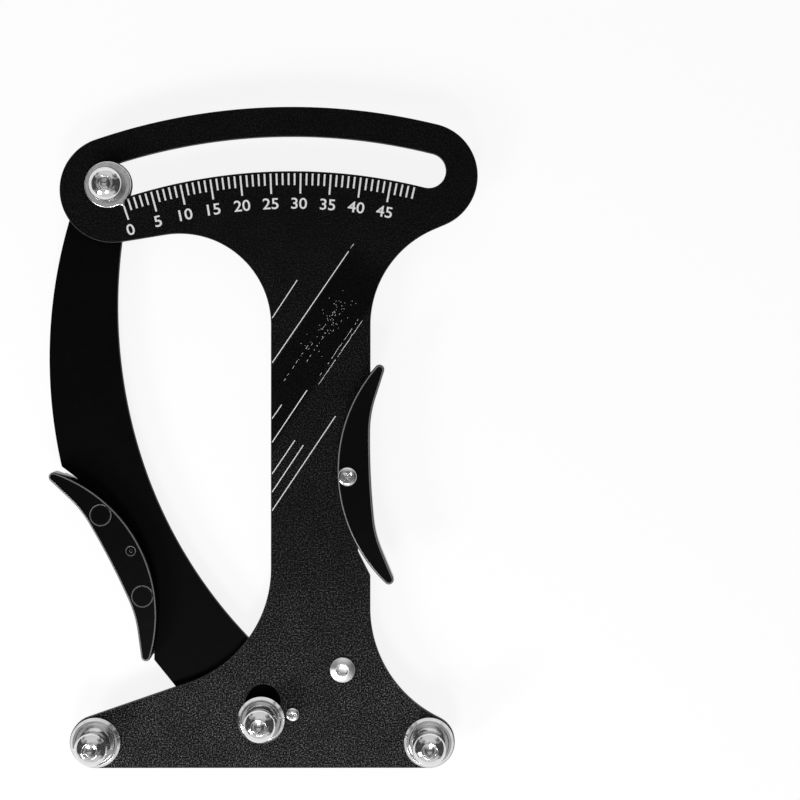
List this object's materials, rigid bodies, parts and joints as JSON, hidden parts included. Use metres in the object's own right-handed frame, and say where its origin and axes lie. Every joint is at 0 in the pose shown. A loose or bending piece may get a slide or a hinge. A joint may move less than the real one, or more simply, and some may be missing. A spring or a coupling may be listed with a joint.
{
  "type": "spoke tension meter",
  "caption": "Hand-held spoke tension meter: flat frame with fixed spoke posts and a curved scale, and a sprung lever arm with a third post and a pointer, squeezed between two crescent grips.",
  "frame": {"origin": "on the pivot's axis, at the flat back of the pivot bush, in the plane of the rear feet", "axes": "+Y up the tool, from the spoke posts to the scale; +Z from the back to the printed front; +X to the right, seen from the front"},
  "size_m": [0.139, 0.2141, 0.0239],
  "materials": {
    "frame_coat": "fine matt powder coat",
    "arm_coat": "satin coat",
    "grip_plastic": "smooth gloss",
    "post_steel": "bright turned nickel plate",
    "screw_steel": "bright",
    "nut_steel": "zinc plate",
    "washer_steel": "zinc plate",
    "bush_steel": "turned",
    "pin_steel": "turned",
    "spring_steel": "drawn wire",
    "bronze": "dull",
    "slider_plastic": "moulded"
  },
  "bodies": {
    "frame": {"frame_plate": "frame_coat", "left_post": "post_steel", "right_post": "post_steel", "left_post_screw": "screw_steel", "right_post_screw": "screw_steel", "left_washer": "washer_steel", "right_washer": "washer_steel", "left_cap_nut": "nut_steel", "right_cap_nut": "nut_steel", "pivot_bush": "bush_steel", "pivot_screw": "screw_steel", "thrust_washer": "bronze", "spring_post": "pin_steel", "spring_post_screw": "screw_steel", "return_spring": "spring_steel", "frame_grip": "grip_plastic", "frame_grip_screw": "screw_steel", "frame_grip_nut": "nut_steel"},
    "arm": {"arm_plate": "arm_coat", "middle_post": "post_steel", "middle_post_screw": "screw_steel", "middle_washer": "washer_steel", "middle_nut": "nut_steel", "slider": "slider_plastic", "pointer_plate": "post_steel", "pointer_collar": "post_steel", "pointer_screw": "screw_steel", "pointer_washer": "washer_steel", "pointer_nut": "nut_steel", "spring_pin": "pin_steel", "arm_grip": "grip_plastic", "arm_grip_screw": "screw_steel"}
  },
  "joints": [
    {"name": "squeeze", "type": "hinge", "parent": "frame", "child": "arm", "pos_m": [0, 0, 0], "axis": [0, 0, -1], "range_deg": [0, 33.2], "stiffness_Nm_per_rad": 0.535, "springref_deg": -13.75, "deforming": ["return_spring"]}
  ]
}
